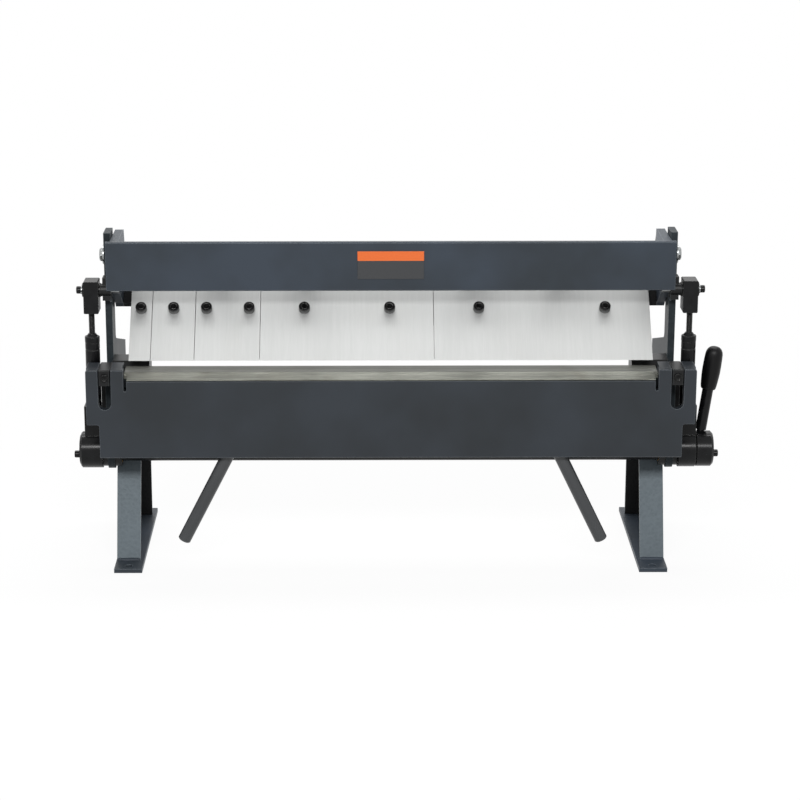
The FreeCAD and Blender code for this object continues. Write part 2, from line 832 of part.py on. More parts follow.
def link(name, side, strap_high):
    """One link; the hole in its head leaves room round the pin."""
    centre = ("shaft_y + throw * cos(throw_angle)", "shaft_z + throw * sin(throw_angle)")
    strap = span(side, "strap_low_x", strap_high)
    axis = (f"{side}link_x", "link_y")
    width = f"({strap[1]}) - ({strap[0]})"
    outer = size(strap_high)
    disc = bar("x", (strap[0], *centre), width, "strap_radius")
    disc = rim(disc, 1.5, lambda spot: near(abs(spot.x), outer))
    neck = block(
        span(side, "strap_low_x", "neck_high_x"),
        ("link_y - neck_half", "link_y + neck_half"),
        ("shaft_z + 20", "neck_top_z"),
    )
    bore = bar("x", (f"{strap[0]} - 1", *centre), f"{width} + 2", "eccentric_radius + running_fit")
    node(cut(joined(disc, neck), bore), name + "_link_strap")
    rod = bar("z", (*axis, "barrel_top_z - 30"), "head_bottom_z - barrel_top_z + 42", "rod_radius")
    barrel = bar("z", (*axis, "neck_top_z"), "barrel_top_z - neck_top_z", "barrel_radius")
    node(cut(barrel, rod), name + "_link_barrel")
    cone = doc.addObject("Part::Cone", "cone")
    bind(cone, Radius1="6.5", Radius2="4.6", Height="3")
    place(cone, *axis, "lock_nut_top_z")
    collar = bar("z", (*axis, "barrel_top_z"), "lock_nut_top_z - barrel_top_z", "barrel_radius + 0.2")
    nut = joined(collar, cone)
    node(cut(nut, rod), name + "_link_lock_nut")
    node(rod, name + "_link_rod")
    head = block(
        span(side, "head_low_x", "head_high_x"),
        ("link_y - head_half", "link_y + head_half"),
        ("head_bottom_z", "head_top_z"),
    )
    sides = (size("head_low_x"), size("head_high_x"))

    def at_side(middle, run):
        return near(abs(run.y), 1) and min(abs(abs(middle.x) - x) for x in sides) < 0.05

    head = edged(head, "Fillet", 1.5, at_side)
    hole_low = f"{span(side, 'head_low_x', 'head_high_x')[0]} - 1"
    through = "head_high_x - head_low_x + 2"
    hole = bar("x", (hole_low, "head_hole_y", "head_hole_z"), through, "head_hole_radius")
    node(cut(head, hole, rod), name + "_link_head")


def along(distance, offset):
    """A point of the fingers' section: so far up the slope from the tip, and so far behind the front face."""
    y = f"tip_y + ({distance}) * cos(finger_slope) + ({offset}) * sin(finger_slope)"
    z = f"tip_z + ({distance}) * sin(finger_slope) - ({offset}) * cos(finger_slope)"
    return (y, z)


def beam():
    """The clamping beam: hood, mounting plate, cheeks, ribs, and the brackets and pins for the links."""
    hood = side_on(
        [
            ("hood_front_y", "hood_bottom_z + 1"),
            ("hood_front_y + 1", "hood_bottom_z"),
            ("hood_back_y", "hood_bottom_z"),
            ("hood_back_y", "hood_top_z"),
            ("hood_front_y + 1.2", "hood_top_z"),
            ("hood_front_y", "hood_top_z - 1.2"),
        ],
        "-hood_half",
        "hood_half",
    )
    pin_at = ("link_y", "link_pin_z")
    pockets = [
        bar("x", (low, *pin_at), "boss_high_x - cheek_high_x", "boss_radius")
        for low in ("cheek_high_x", "-boss_high_x")
    ]
    node(cut(hood, *pockets), "beam_hood")
    deep = "finger_thick + mount_thick"
    plate = side_on(
        [
            along("mount_low", "finger_thick"),
            along("mount_low", deep),
            along("mount_high", deep),
            along("mount_high", "finger_thick"),
        ],
        "-cheek_low_x",
        "cheek_low_x",
    )
    spare = [
        side_on(
            [
                along("mount_low - 2", "finger_thick - 4"),
                along("mount_low - 2", f"{deep} + 4"),
                along("mount_end_low", f"{deep} + 4"),
                along("mount_end_low", "finger_thick - 4"),
            ],
            *span(side, f"{FINGERS_WIDE / 2} * inch + 0.4", "cheek_low_x + 1"),
        )
        for side in ("", "-")
    ]
    taps = [face_bar(x, "-2", f"{deep} + 4", "screw_radius") for x in screw_places()]
    node(cut(plate, *spare, *taps), "finger_mount_plate")
    side = side_on(
        [
            ("hood_back_y", "cheek_top_z"),
            ("cheek_back_y", "cheek_top_z"),
            ("cheek_back_y + 25", "cheek_top_z - 38"),
            along("mount_high", deep),
            along("mount_end_low", deep),
            along("mount_end_low", "finger_thick"),
            ("hood_back_y", "hood_bottom_z"),
        ],
        "cheek_low_x",
        "cheek_high_x",
    )
    bolt_hole = bar("x", ("cheek_low_x - 1", "guide_y", "guide_z"), "12", "guide_radius")
    pin_hole = bar("x", ("cheek_low_x - 1", *pin_at), "12", "link_pin_radius")
    pair(cut(side, bolt_hole, pin_hole), "beam_cheek")
    stiffeners(deep)
    link_mounts(pin_at)
    guides()
    label = block(
        ("-label_half", "label_half"),
        ("hood_front_y - label_thick", "hood_front_y"),
        ("label_low_z", "label_high_z"),
    )
    node(label, "label_plate")


def stiffeners(deep):
    """Corner gussets on the cheeks, and ribs from the hood to the mounting plate."""
    gusset = top_on(
        [
            ("cheek_low_x", "hood_back_y"),
            ("gusset_x", "hood_back_y"),
            ("cheek_low_x - 0.6", "cheek_back_y"),
            ("cheek_low_x", "cheek_back_y"),
        ],
        "cheek_top_z - gusset_thick",
        "cheek_top_z",
    )
    low = "hood_bottom_z + 6"
    reach = f"(({low}) - tip_z + finger_thick * cos(finger_slope)) / sin(finger_slope)"
    ribs = [
        side_on(
            [
                ("hood_back_y", low),
                along(reach, "finger_thick"),
                along("mount_high", "finger_thick"),
                along("mount_high", deep),
                ("cheek_back_y", "hood_top_z - 26"),
                ("hood_back_y", "hood_top_z - 5"),
            ],
            f"{x} - rib_thick / 2",
            f"{x} + rib_thick / 2",
        )
        for x in ("-2 * rib_x", "-rib_x", "rib_x", "2 * rib_x")
    ]
    node(grouped(gusset, mirrored(gusset), *ribs), "beam_ribs")


def link_mounts(pin_at):
    """Brackets outside the cheeks, each with a fixed pin for its link's head, washers and a screw."""
    bracket = joined(
        block(
            ("cheek_high_x", "bracket_high_x"),
            ("hood_back_y", "bracket_back_y"),
            ("bracket_bottom_z", "bracket_top_z"),
        ),
        bar("x", ("cheek_high_x", *pin_at), "boss_high_x - cheek_high_x", "boss_radius"),
    )
    bracket = cut(bracket, bar("x", ("cheek_high_x - 1", *pin_at), "15", "link_pin_radius"))
    node(grouped(bracket, mirrored(bracket)), "link_brackets")
    pin_end = "head_high_x + 1.9"
    tap = bar("x", (f"{pin_end} - 12", *pin_at), "12", "2.5")
    pin = cut(bar("x", ("cheek_low_x", *pin_at), f"{pin_end} - cheek_low_x", "link_pin_radius"), tap)
    node(grouped(pin, mirrored(pin)), "link_pins")
    washers = []
    for low in ("boss_high_x", "head_high_x + 0.3"):
        disc = bar("x", (low, *pin_at), "1.6", "8.2")
        hole = bar("x", (f"{low} - 1", *pin_at), "4", "link_pin_radius")
        washers.append(cut(disc, hole))
    node(grouped(*washers, *[mirrored(item) for item in washers]), "link_washers")
    hole = bar("x", (f"{pin_end} - 1", *pin_at), "4", "2.5")
    ring = cut(bar("x", (pin_end, *pin_at), "1.6", "5"), hole)
    node(grouped(ring, mirrored(ring)), "link_lock_washers")
    head = bar("x", (f"{pin_end} + 1.6", *pin_at), "5.5", "4.35")
    shank = bar("x", (f"{pin_end} - 12", *pin_at), "14", "2.5")
    key = hexagon("x", (f"{pin_end} + 4.6", *pin_at), "4", "2.3")
    screw = cut(joined(head, shank), key)
    node(grouped(screw, mirrored(screw)), "link_pin_screws")


def guides():
    """Hexagon bolts through the slots in the side plates, their washers, and blocks behind the uprights."""
    at = ("guide_y", "guide_z")
    gap = "plate_high_x + guide_gap"
    head_low = f"{gap} + guide_washer_thick"
    bolt = joined(
        bar("x", ("cheek_low_x", *at), f"{head_low} - cheek_low_x", "guide_radius"),
        hexagon("x", (head_low, *at), "guide_head_high", "guide_head_radius"),
    )
    node(grouped(bolt, mirrored(bolt)), "guide_bolts")
    washer = cut(
        bar("x", (gap, *at), "guide_washer_thick", "guide_washer_radius"),
        bar("x", (f"{gap} - 1", *at), "guide_washer_thick + 2", "guide_radius"),
    )
    node(grouped(washer, mirrored(washer)), "guide_washers")
    rear = block(
        ("cheek_high_x", "plate_high_x"),
        ("rear_guide_y", "rear_guide_y + rear_guide_depth"),
        ("guide_z - 22", "cheek_top_z - 4"),
    )
    node(grouped(rear, mirrored(rear)), "rear_guides")


def screw_places():
    """The x of every finger screw, from the left."""
    places = []
    left = -FINGERS_WIDE / 2
    for name, wide, offsets in FINGERS:
        places += [f"{left + wide / 2} * inch + {offset}" for offset in offsets]
        left += wide
    return places


def face_bar(x, start, length, radius):
    """A bar square to the fingers' face, from a depth behind the face; a negative depth is in front."""
    place_of = (x, *along("screw_along", start))
    return tilted_bar(Vector(1, 0, 0), "180 + finger_slope", place_of, length, radius)


def fingers():
    """Five fingers with a flat foot under the tip, and the screws that hold them."""
    left = -FINGERS_WIDE / 2
    for name, wide, offsets in FINGERS:
        blade = side_on(
            [
                ("tip_y", "tip_z"),
                ("tip_y + finger_thick / sin(finger_slope)", "tip_z"),
                along("finger_length", "finger_thick"),
                along("finger_length", "0"),
            ],
            f"{left} * inch + finger_seam / 2",
            f"{left + wide} * inch - finger_seam / 2",
        )
        middle = f"{left + wide / 2} * inch"
        holes = [
            face_bar(f"{middle} + {offset}", "-1", "finger_thick + 2", "screw_radius + 0.4")
            for offset in offsets
        ]
        node(cut(blade, *holes), name)
        left += wide
    screws = []
    for x in screw_places():
        shank = face_bar(x, "0", "finger_thick + mount_thick + 3", "screw_radius")
        head = face_bar(x, "-screw_head_high", "screw_head_high", "screw_head_radius")
        key = doc.addObject("Part::Prism", "socket")
        key.Polygon = 6
        key.Placement.Rotation = Rotation(Vector(1, 0, 0), 1)
        bind(key, Circumradius="3.46", Height="5")
        key.setExpression("Placement.Rotation.Angle", bound("180 + finger_slope"))
        place(key, x, *along("screw_along", "-screw_head_high - 1"))
        screws.append(cut(joined(shank, head), key))
    node(grouped(*screws), "finger_screws")


def write(item):
    """Checks a sub-part and writes its file."""
    shape = item.Shape
    assert not shape.isNull() and shape.isValid(), f"{item.Label} is not a valid shape"
    shape.exportStep(f"parts/{item.Label}.step")


feet_and_legs()
side_plates()
bed()
pivots()
apron()
clamp_shaft()
links()
beam()
fingers()
doc.recompute()
for item in doc.Objects:
    assert "Invalid" not in item.State and "Error" not in item.State, f"{item.Name} {item.Label} {item.State}"
os.makedirs("parts", exist_ok=True)
for item in nodes:
    write(item)
print(len(nodes), "sub-parts")
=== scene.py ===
# %% [markdown]
# # A box and pan brake
# A bench tool that folds sheet metal. The sheet lies on a bed, a beam presses a row of steel
# fingers down on it, and the heavy leaf at the front, the apron, swings up on its hinges and folds
# what sticks out. The solids come from the CAD frame. This script gives them their finishes,
# puts finer pieces in place of the plain screws, links and grip, adds the weld beads, and lights it all.

# %% load the frame
import json
import math

import bmesh
import bpy
from mathutils import Matrix, Vector


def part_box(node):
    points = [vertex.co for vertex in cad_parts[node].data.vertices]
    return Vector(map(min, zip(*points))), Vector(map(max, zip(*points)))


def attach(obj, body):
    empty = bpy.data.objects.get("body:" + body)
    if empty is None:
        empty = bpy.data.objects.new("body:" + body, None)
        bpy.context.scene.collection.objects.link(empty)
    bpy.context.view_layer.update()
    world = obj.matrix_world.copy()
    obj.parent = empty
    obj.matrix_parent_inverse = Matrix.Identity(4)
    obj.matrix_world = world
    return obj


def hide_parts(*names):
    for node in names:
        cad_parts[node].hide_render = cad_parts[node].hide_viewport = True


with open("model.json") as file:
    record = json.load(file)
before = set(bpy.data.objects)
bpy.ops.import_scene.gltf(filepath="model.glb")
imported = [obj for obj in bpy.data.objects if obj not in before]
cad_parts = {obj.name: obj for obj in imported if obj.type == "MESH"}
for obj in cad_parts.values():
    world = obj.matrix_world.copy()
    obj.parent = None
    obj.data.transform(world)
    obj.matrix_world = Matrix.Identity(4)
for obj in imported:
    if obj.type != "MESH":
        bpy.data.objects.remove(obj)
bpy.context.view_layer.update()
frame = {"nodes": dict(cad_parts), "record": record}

nodes = frame["nodes"]
mm = 0.001
leg_slope = 62.2 / 185
leg_wall = 4

# %% [markdown]
# ## Making materials
# Every finish below is a tree of nodes, so two small helpers come first. One turns the colour codes
# that a paint chart or a colour picker gives into the linear light that Cycles works in. The other adds
# one node with its settings, its values and its links. Patterns read Object coordinates, in metres,
# so that a scale can be worked out from a real size.

# %% helpers for colours and nodes
def linear(code):
    """A hex colour as linear red, green, blue and alpha."""
    parts = [int(code[start:start + 2], 16) / 255 for start in (1, 3, 5)]
    return [part / 12.92 if part < 0.04045 else ((part + 0.055) / 1.055) ** 2.4 for part in parts] + [1.0]


def add(tree, kind, settings={}, values={}, links={}):
    """Adds one node, sets its settings and the values of its inputs, and links the outputs given."""
    node = tree.nodes.new("ShaderNode" + kind)
    for name, value in settings.items():
        setattr(node, name, value)
    for name, value in values.items():
        node.inputs[name].default_value = value
    for name, output in links.items():
        tree.links.new(output, node.inputs[name])
    return node


def start_finish(name, **values):
    """A new material with its shader's constant values set; returns the material, its tree and the shader."""
    material = bpy.data.materials.new(name)
    material.use_nodes = True
    tree = material.node_tree
    shader = tree.nodes["Principled BSDF"]
    for key, value in values.items():
        shader.inputs[key.replace("_", " ")].default_value = value
    return material, tree, shader


# %% [markdown]
# A pattern becomes a finish in a few ways that come back in every material: it is stretched along an
# axis, it chooses between two colours, it is squeezed into a narrower range, or it thins out a mask. Each
# of these is one node, or two, so each gets a short helper with a plain name.

# %% helpers for patterns
def object_coordinates(tree, stretch=(1, 1, 1)):
    """Object coordinates, squeezed or stretched along the axes."""
    where = add(tree, "TexCoord")
    return add(tree, "Mapping", values={"Scale": stretch}, links={"Vector": where.outputs["Object"]}).outputs[0]


def noise(tree, where, size, detail=2.0, distortion=0.0):
    """Noise whose blotches are about one size wide, in millimetres, where the coordinates aren't stretched."""
    values = {"Scale": 1 / (size * mm), "Detail": detail, "Distortion": distortion}
    return add(tree, "TexNoise", values=values, links={"Vector": where}).outputs[0]


def two_tone(tree, factor, low, high, first, second):
    """A colour that runs from the first to the second as a pattern goes from low to high."""
    ramp = add(tree, "ValToRGB", links={"Fac": factor})
    ramp.color_ramp.elements[0].position = low
    ramp.color_ramp.elements[1].position = high
    ramp.color_ramp.elements[0].color = linear(first)
    ramp.color_ramp.elements[1].color = linear(second)
    return ramp.outputs["Color"]


def spread(tree, factor, low, high, start=0.0, stop=1.0):
    """A pattern stretched so that start to stop becomes low to high."""
    values = {"From Min": start, "From Max": stop, "To Min": low, "To Max": high}
    return add(tree, "MapRange", values=values, links={"Value": factor}).outputs[0]


def times(tree, first, second):
    """Two masks multiplied."""
    return add(tree, "Math", settings={"operation": "MULTIPLY"}, links={0: first, 1: second}).outputs[0]


def over(tree, below, code, mask):
    """A plain colour laid over another where a mask is 1."""
    mixed = add(tree, "Mix", settings={"data_type": "RGBA"}, links={"Factor": mask, 6: below})
    mixed.inputs[7].default_value = linear(code)
    return mixed.outputs[2]


def wire(tree, shader, colour, roughness, normal):
    """Links the three patterns that every finish ends in."""
    tree.links.new(colour, shader.inputs["Base Color"])
    tree.links.new(roughness, shader.inputs["Roughness"])
    tree.links.new(normal, shader.inputs["Normal"])


# %% [markdown]
# Sheared plate and sawn bar never have knife edges: they are eased by a millimetre or less, and the eased
# edge is where light catches and where paint wears thin. The Bevel node rounds the shading there
# without touching the mesh, and where its normal leaves the true one there is an edge.

# %% helper for eased edges
def eased(tree, radius, bump, strength, depth):
    """The rounded normal for edges of that radius, under a bump, and a mask that is 1 along the edges."""
    round_normal = add(tree, "Bevel", settings={"samples": 6}, values={"Radius": radius * mm}).outputs[0]
    flat_normal = add(tree, "NewGeometry").outputs["Normal"]
    likeness = add(
        tree, "VectorMath", settings={"operation": "DOT_PRODUCT"}, links={0: round_normal, 1: flat_normal},
    ).outputs["Value"]
    mask = spread(tree, likeness, 0.0, 1.0, start=0.995, stop=0.92)
    bumped = add(
        tree, "Bump", values={"Strength": strength, "Distance": depth * mm},
        links={"Height": bump, "Normal": round_normal},
    )
    return bumped.outputs["Normal"], mask


# %% [markdown]
# ## Sprayed enamel
# The beam and the feet are sprayed with a dark slate enamel, half gloss. The apron gets a darker, more
# neutral copy of it, as painted shade, and its handles a plain grey one. The blocks get a black one, and so
# does the plate behind the fingers, as painted shade. A sprayed coat is never quite flat: it has orange peel
# about 2 mm across, and clouds of slightly different grey as wide as a hand. Along the edges the coat is thin,
# and a lighter primer shows. Enamel is a varnish with pigment in it, so its IOR is that of a varnish, 1.5, and
# it isn't a metal. The specular level says how much of that shine the matting agent in the paint leaves: about
# half, and all of it on the handles.

# %% sprayed enamel
def make_enamel(name, dark, light, worn, roughness, shine):
    """Sprayed enamel with clouds, orange peel and thin edges."""
    material, tree, shader = start_finish(name, IOR=1.5, Specular_IOR_Level=shine)
    where = object_coordinates(tree)
    clouds = noise(tree, where, 110.0, detail=3.0)
    peel = noise(tree, where, 2.2, detail=1.0)
    grit = noise(tree, where, 0.9)
    normal, edges = eased(tree, 0.9, peel, 0.2, 0.25)
    coat = two_tone(tree, clouds, 0.36, 0.64, dark, light)
    thin = times(tree, edges, spread(tree, grit, 0.4, 1.0))
    gloss = spread(tree, clouds, roughness - 0.06, roughness + 0.08)
    wire(tree, shader, over(tree, coat, worn, thin), gloss, normal)
    return material


slate_enamel = make_enamel("slate_enamel", "#2c3238", "#373f49", "#828990", 0.42, 0.28)
# painted shade: the apron's copy of the slate enamel is darker and more neutral
apron_enamel_painted_shade = make_enamel("apron_enamel_painted_shade", "#272b2f", "#2f343a", "#7a8086", 0.42, 0.28)
handle_enamel = make_enamel("handle_enamel", "#313335", "#3a3c3e", "#6c7072", 0.36, 0.5)
black_enamel = make_enamel("black_enamel", "#0a0a0b", "#111213", "#4a4d4e", 0.38, 0.25)
print("made", slate_enamel.name, apron_enamel_painted_shade.name, handle_enamel.name, black_enamel.name)

# %% [markdown]
# ## Hammered enamel
# The side plates and the legs have a hammer finish: a metallic grey enamel that pulls itself into
# shallow round dimples 3 to 5 mm wide as it dries. Voronoi cells give the dimples: their distance from
# the middle of each cell is the height of the rim round it. The pigment floats to the rims, so these
# are a little lighter. The legs get a lighter copy of the enamel, painted sheen for their up-tilted fronts,
# and the plates a darker one, painted shade. Inside a leg the colour is painted near black, painted shade.

# %% hammered enamel
def inside_leg(tree):
    """A mask that is 1 within the walls of a leg, whose front slopes back as it rises."""
    place = add(tree, "SeparateXYZ", links={"Vector": object_coordinates(tree)}).outputs
    away = add(tree, "Math", settings={"operation": "ABSOLUTE"}, links={0: place["X"]}).outputs[0]
    slope_line = add(
        tree, "Math", settings={"operation": "MULTIPLY_ADD"}, values={1: -leg_slope},
        links={0: place["Z"], 2: place["Y"]},
    ).outputs[0]
    low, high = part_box("right_leg")
    most_of_wall = 0.9 * leg_wall * mm
    foot_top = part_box("right_foot")[1][2]
    limits = (
        (away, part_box("right_side_plate")[0][0] - most_of_wall, "LESS_THAN"),
        (place["Y"], high[1] - most_of_wall, "LESS_THAN"),
        (place["Z"], high[2] - most_of_wall, "LESS_THAN"),
        (slope_line, low[1] - leg_slope * foot_top + most_of_wall, "GREATER_THAN"),
    )
    mask = None
    for value, limit, test in limits:
        within = add(tree, "Math", settings={"operation": test}, values={1: limit}, links={0: value}).outputs[0]
        mask = times(tree, mask, within) if mask else within
    return mask


def make_hammered(name, dark, light, worn, shine, metal, shade_inside_legs=False):
    """Hammer-finish enamel with dimples 4 mm wide, and near-black painted shade inside the legs if asked."""
    material, tree, shader = start_finish(name, IOR=1.5, Metallic=metal, Specular_IOR_Level=shine)
    where = object_coordinates(tree)
    bend = noise(tree, where, 6.0, detail=1.0)
    bent = add(
        tree, "Mix", settings={"data_type": "VECTOR"}, values={"Factor": 0.004}, links={4: where, 5: bend},
    ).outputs[1]
    dimples = add(
        tree, "TexVoronoi", settings={"feature": "SMOOTH_F1"},
        values={"Scale": 1 / (4.0 * mm), "Smoothness": 0.6}, links={"Vector": bent},
    ).outputs["Distance"]
    clouds = noise(tree, where, 70.0, detail=4.0)
    normal, edges = eased(tree, 0.8, dimples, 0.22, 0.35)
    rims = spread(tree, dimples, 0.0, 0.5)
    mixed = add(tree, "Math", settings={"operation": "ADD"}, links={0: rims, 1: clouds}).outputs[0]
    coat = two_tone(tree, mixed, 0.4, 1.0, dark, light)
    colour = over(tree, coat, worn, spread(tree, edges, 0.0, 0.7))
    if shade_inside_legs:
        # painted shade: within the walls of a leg the colour is painted near black
        colour = over(tree, colour, "#08090a", inside_leg(tree))
    wire(tree, shader, colour, spread(tree, clouds, 0.36, 0.5), normal)
    return material


# painted light: the legs' copy of the hammered enamel is lighter as painted sheen, the plates' copy darker as
# painted shade
hammered_legs_painted_light = make_hammered("hammered_leg_enamel_painted_light", "#424c52", "#4f595f", "#8a9396", 0.4, 0.2, shade_inside_legs=True)
hammered_plates_painted_shade = make_hammered("hammered_plate_enamel_painted_shade", "#24292c", "#33393d", "#70787b", 0.1, 0.0)
print("made", hammered_legs_painted_light.name, hammered_plates_painted_shade.name)

# %% [markdown]
# ## Ground steel
# The fingers, the bed and the nose of the apron are bare steel, ground flat. Grinding leaves fine
# parallel scratches, a few hundredths of a millimetre apart; they are drawn ten times coarser here so that
# they show. Noise that is stretched along the stroke makes them. The fingers are ground from tip
# to top and look pale and even. The bed and the nose bar are ground lengthwise, are darker and oilier, and
# only where they touch the work: lower down they are near black, partly the black scale of the rolling mill
# and partly painted shade, for where they lie deep in the slits.

# %% ground steel
def make_ground_steel(name, across, dark, light, stain, roughness, stained, scratch, ground_from=None):
    """Bare ground steel whose scratches run square to the axes named in across, near black below a height: mill
    scale and painted shade.
    """
    material, tree, shader = start_finish(name, Metallic=1.0)
    stretch = [1.0 if axis in across else 0.03 for axis in "xyz"]
    lines = noise(tree, object_coordinates(tree, stretch), 0.6, detail=4.0)
    streaks = noise(tree, object_coordinates(tree, stretch), 3.5, detail=3.0)
    oil = noise(tree, object_coordinates(tree), 62.0, detail=5.0, distortion=0.6)
    normal = eased(tree, 0.5, lines, scratch, 0.04)[0]
    both = add(tree, "Mix", values={"Factor": 0.4}, links={2: lines, 3: streaks}).outputs[0]
    bare = two_tone(tree, both, 0.38, 0.62, dark, light)
    film = spread(tree, oil, 0.0, stained, start=0.5, stop=0.72)
    colour = over(tree, bare, stain, film)
    if ground_from is not None:
        height = add(tree, "SeparateXYZ", links={"Vector": object_coordinates(tree)}).outputs["Z"]
        # painted shade: below the ground height the colour is near black, partly mill scale and partly shade
        mill_scale_and_shade = two_tone(tree, oil, 0.35, 0.7, "#121416", "#25292c")
        ground = spread(tree, height, 0.0, 1.0, start=(ground_from - 0.3) * mm, stop=ground_from * mm)
        colour = add(
            tree, "Mix", settings={"data_type": "RGBA"}, links={"Factor": ground, 6: mill_scale_and_shade, 7: colour},
        ).outputs[2]
    gloss = spread(tree, lines, roughness - 0.6 * scratch, roughness + 0.9 * scratch)
    wire(tree, shader, colour, gloss, normal)
    return material


finger_steel = make_ground_steel("finger_steel", "x", "#b2b3b2", "#b7b8b7", "#acaba6", 0.52, 0.12, 0.02)
nose_steel = make_ground_steel("nose_steel", "yz", "#5c5d57", "#82837b", "#524f45", 0.36, 0.45, 0.08, 233.9)
bed_steel = make_ground_steel("bed_steel", "yz", "#4e4f48", "#70716a", "#434036", 0.4, 0.45, 0.08, 239.3)
turned_steel = make_ground_steel("turned_steel", "x", "#7d8081", "#a5a8a9", "#6c675a", 0.32, 0.2, 0.08)
print("made", finger_steel.name, nose_steel.name, bed_steel.name, turned_steel.name)

# %% [markdown]
# ## Blackened steel
# The links, cams, hub, lever and screws are turned steel, blackened in a hot salt bath and oiled.
# The oxide is a dark mineral skin a micron thick, so it isn't a metal to the eye: it takes a sharp but
# weak highlight. Along edges it wears off, and what shows there is metal again. On the screws the worn
# rims are made brighter, as a painted highlight. Turning leaves rings too fine to show, so only a faint
# mottle is drawn.

# %% blackened steel
def make_blackened(name, dark, light, roughness, worn):
    """Hot-blackened and oiled steel with bright worn edges; a high worn value makes them a painted highlight.
    """
    material, tree, shader = start_finish(name, IOR=1.5, Specular_IOR_Level=0.18)
    where = object_coordinates(tree)
    mottle = noise(tree, where, 11.0, detail=4.0)
    grit = noise(tree, where, 1.1)
    normal, edges = eased(tree, 0.6, grit, 0.1, 0.08)
    thin = times(tree, edges, spread(tree, grit, 0.0, worn))
    colour = over(tree, two_tone(tree, mottle, 0.3, 0.7, dark, light), "#8a8a88", thin)
    tree.links.new(thin, shader.inputs["Metallic"])
    wire(tree, shader, colour, spread(tree, mottle, roughness - 0.05, roughness + 0.08), normal)
    return material


blackened_steel = make_blackened("blackened_steel", "#0a0a0c", "#151617", 0.22, 0.5)
# painted highlight: the screws' worn rims are at full strength, brighter than wear alone
black_screws = make_blackened("black_screw_steel_painted_highlight", "#060607", "#0e0e0f", 0.2, 1.0)
print("made", blackened_steel.name, black_screws.name)

# %% [markdown]
# ## Small finishes
# Bright zinc plate on the washers and the guide bolts has a soft crystalline bloom. Oiled bronze lines the
# shaft's bearings. The grip is moulded from black plastic with a fine spark texture, half a millimetre
# across.

# %% zinc, bronze and grip
def make_mottled(name, size, dark, light, rough_low, rough_high, depth, **values):
    """A finish with one fine mottle, some millimetres wide, that sets its colour, roughness and relief."""
    material, tree, shader = start_finish(name, **values)
    mottle = noise(tree, object_coordinates(tree), size, detail=3.0)
    normal = eased(tree, 0.4, mottle, 0.3, depth)[0]
    colour = two_tone(tree, mottle, 0.3, 0.7, dark, light)
    wire(tree, shader, colour, spread(tree, mottle, rough_low, rough_high), normal)
    return material


zinc_plate = make_mottled("zinc_plate", 1.8, "#7d8081", "#a5a7a6", 0.22, 0.4, 0.03, Metallic=1.0)
oiled_bronze = make_mottled("oiled_bronze", 2.5, "#8a6a36", "#b08b4c", 0.25, 0.45, 0.03, Metallic=1.0)
grip_plastic = make_mottled(
    "grip_plastic", 0.5, "#040405", "#09090a", 0.34, 0.46, 0.06, IOR=1.5, Specular_IOR_Level=0.18,
)
print("made", zinc_plate.name, oiled_bronze.name, grip_plastic.name)

# %% [markdown]
# ## Label film
# The plate on the hood is glossy film, orange above and black below, and stays blank. One piece of mesh
# carries both colours: the shader asks whether a point lies above the line between them.

# %% label film
label_low, label_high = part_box("label_plate")
black_share = 0.66
label_split = label_low[2] + black_share * (label_high[2] - label_low[2])


def make_label(name, split):
    """Glossy film, orange above a height and black below it."""
    material, tree, shader = start_finish(name, IOR=1.5, Coat_Weight=0.4, Coat_Roughness=0.1)
    where = object_coordinates(tree)
    height = add(tree, "SeparateXYZ", links={"Vector": where}).outputs["Z"]
    above = add(
        tree, "Math", settings={"operation": "GREATER_THAN"}, values={1: split}, links={0: height},
    ).outputs[0]
    grain = noise(tree, where, 1.5)
    orange = two_tone(tree, grain, 0.2, 0.8, "#e4641a", "#ec7022")
    black = two_tone(tree, grain, 0.2, 0.8, "#1f2124", "#282a2d")
    colour = add(tree, "Mix", settings={"data_type": "RGBA"}, links={"Factor": above, 6: black, 7: orange})
    normal = eased(tree, 0.3, grain, 0.05, 0.02)[0]
    wire(tree, shader, colour.outputs[2], spread(tree, grain, 0.28, 0.4), normal)
    return material


label_film = make_label("label_film", label_split)
print("label turns orange above", round(label_split / mm, 1), "mm")

# %% [markdown]
# Each solid of the frame names a slot in the record. The finishes go on by slot, and the few places
# where one slot covers two looks are set by name.

# %% finishes on the solids
slot_finish = {
    "hammered_grey_paint": hammered_legs_painted_light,
    "dark_grey_paint": slate_enamel,
    "black_paint": black_enamel,
    "ground_steel": finger_steel,
    "turned_steel": turned_steel,
    "black_oxide": blackened_steel,
    "black_screws": black_screws,
    "zinc_plate": zinc_plate,
    "bronze": oiled_bronze,
    "black_rubber": grip_plastic,
    "printed_plate": label_film,
}
node_slot = {entry["node"]: entry["material_slot"] for entry in frame["record"]["subparts"]}
node_finish = {name: slot_finish[slot] for name, slot in node_slot.items()}
node_finish["apron_nose_bar"] = nose_steel
node_finish["bed_bar"] = bed_steel
# painted shade: the plate behind the fingers is black for the shade of the hood above it
node_finish["finger_mount_plate"] = black_enamel
for name in ("apron_plate", "apron_ears"):
    node_finish[name] = apron_enamel_painted_shade
for side in ("left", "right"):
    node_finish[side + "_side_plate"] = hammered_plates_painted_shade
    node_finish[side + "_handle"] = handle_enamel


def dress(piece, material):
    """Puts one material on every slot of a piece."""
    if not piece.material_slots:
        piece.data.materials.append(material)
    for spot in piece.material_slots:
        spot.material = material


for name, piece in nodes.items():
    dress(piece, node_finish[name])
print("dressed", len(nodes), "solids")

# %% [markdown]
# ## Turned pieces
# Screws, nuts, barrels and grips are round, so they start as half a profile that is spun about the Z
# axis. A spin needs only the few points where the diameter changes. The piece is then turned and
# moved to its place, and its object stays at the origin.

